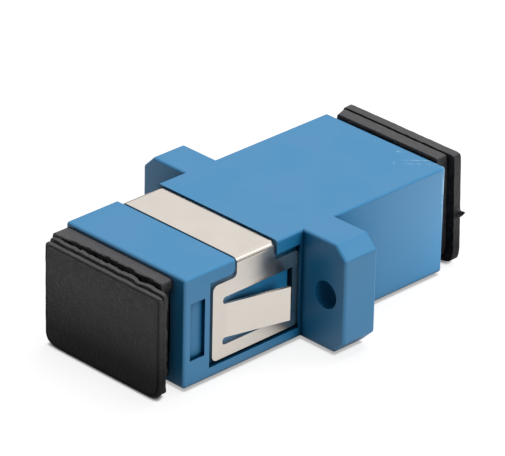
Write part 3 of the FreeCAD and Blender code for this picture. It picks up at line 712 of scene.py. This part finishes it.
def white_table():
    """Pale matt paint plus a glow of strength seen * level * shade. For the camera, level is TABLE_GLOW
    and shade is the near openness ^ CONTACT_DEPTH. Reflections get TABLE_MIRROR and the wider openness."""
    material, tree, output, _ = new_material("white_table")
    lit = add(tree, "BsdfDiffuse", {"Color": TABLE_PALE})
    mirrored = add(tree, "LightPath").outputs["Is Glossy Ray"]
    close_sky = add(tree, "AmbientOcclusion", {"Distance": CONTACT_REACH}, samples=SKY_RAYS).outputs["AO"]
    contact = add(tree, "Math", {0: close_sky, 1: CONTACT_DEPTH}, operation="POWER").outputs[0]
    broad = add(tree, "AmbientOcclusion", {"Distance": SHADE_REACH}, samples=SKY_RAYS).outputs["AO"]
    shade = add(tree, "Mix", {0: mirrored, 2: contact, 3: broad}).outputs[0]
    level = add(tree, "Mix", {0: mirrored, 2: TABLE_GLOW, 3: TABLE_MIRROR}).outputs[0]
    seen = add(tree, "Math", {0: seen_directly(tree), 1: level}, operation="MULTIPLY").outputs[0]
    strength = add(tree, "Math", {0: seen, 1: shade}, operation="MULTIPLY").outputs[0]
    glow = add(tree, "Emission", {"Color": (1, 1, 1, 1), "Strength": strength})
    both = add(tree, "AddShader", {0: lit.outputs[0], 1: glow.outputs[0]})
    tree.links.new(both.outputs[0], output.inputs["Surface"])
    return material


table_corners = [(x * TABLE_HALF, y * TABLE_HALF, 0) for x, y in ((-1, -1), (1, -1), (1, 1), (-1, 1))]
table_mesh = bpy.data.meshes.new("table")
table_mesh.from_pydata(table_corners, [], [(0, 1, 2, 3)])
table_mesh.materials.append(white_table())
table = bpy.data.objects.new("table", table_mesh)
table.location.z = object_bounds()[0][2] - TABLE_CLEARANCE
bpy.context.scene.collection.objects.link(table)
print("table at", round(table.location.z / MM, 3), "mm")

# %% [markdown]
# ## The room
#
# The world is a pale room, which fills the shadows a little. The camera sees it as clean white, and
# reflections see its wall dim near the horizon, so that bent metal gets an edge to show.

# %% Room
ROOM_FILL = 0.15
WALL_TOP = 0.46  # sine of the height above the horizon at which the wall is white
WALL_DIM = 0.05  # and how bright it is at the horizon

world = bpy.data.worlds.new("studio")
world.use_nodes = True
bpy.context.scene.world = world
room_tree = world.node_tree
room_tree.nodes.clear()
height = add(room_tree, "SeparateXYZ", {0: add(room_tree, "TexCoord").outputs["Generated"]}).outputs["Z"]
wall = add(room_tree, "MapRange", {
    "Value": height, "From Min": 0.0, "From Max": WALL_TOP, "To Min": WALL_DIM},
    interpolation_type="SMOOTHSTEP").outputs[0]
mirrored = add(room_tree, "LightPath").outputs["Is Glossy Ray"]
shown = add(room_tree, "Mix", {0: mirrored, 2: 1.0, 3: wall}).outputs[0]
room = add(room_tree, "Mix", {0: seen_directly(room_tree), 2: ROOM_FILL, 3: shown}).outputs[0]
sky = add(room_tree, "Background", {"Color": (1, 1, 1, 1), "Strength": room}).outputs[0]
add(room_tree, "OutputWorld", {"Surface": sky})
print("room fills the shadows with", ROOM_FILL)

# %% [markdown]
# ## The lamps
#
# A broad soft box stands high behind the part and makes the tops brightest. A second one, low on the
# right, lights the sides turned that way, and the faces turned to the left stay deep. Two small cards do
# the fine work: one far behind puts a gleam on the bend of the clip, and one close to the rear end lets
# the long side grow lighter towards its end. The first box and the near card light the part without
# showing in its reflections.

# %% Lamps
FAR = 0.5  # metres from the housing's middle
NEAR = 0.027
LAMPS = (
    # name, direction from the housing, distance and size in metres, light, shows in reflections
    ("high_back", (-0.10, 0.32, 0.94), FAR, 0.42, 0.88, False),
    ("back_card", (0.46, 0.63, 0.63), FAR, 0.12, 0.022, True),
    ("low_right", (0.97, 0.0, 0.22), FAR, 0.30, 0.40, True),
    ("near_card", (0.52, 0.85, -0.05), NEAR, 0.006, 0.12, False),
)


def soft_box(name, towards, distance, size, light, reflected):
    """A square lamp that faces the housing. Its watts, light * (pi * distance)^2, give a face turned to it
    what a world of strength light would give that face."""
    lamp = bpy.data.lights.new(name, "AREA")
    lamp.shape = "SQUARE"
    lamp.size = size
    lamp.energy = light * (math.pi * distance) ** 2
    stand = bpy.data.objects.new(name, lamp)
    direction = Vector(towards).normalized()
    stand.location = middle + distance * direction
    stand.rotation_euler = direction.to_track_quat("Z", "Y").to_euler()
    stand.visible_camera = False
    stand.visible_glossy = reflected
    bpy.context.scene.collection.objects.link(stand)
    print(name, round(lamp.energy, 4), "W")


for row in LAMPS:
    soft_box(*row)
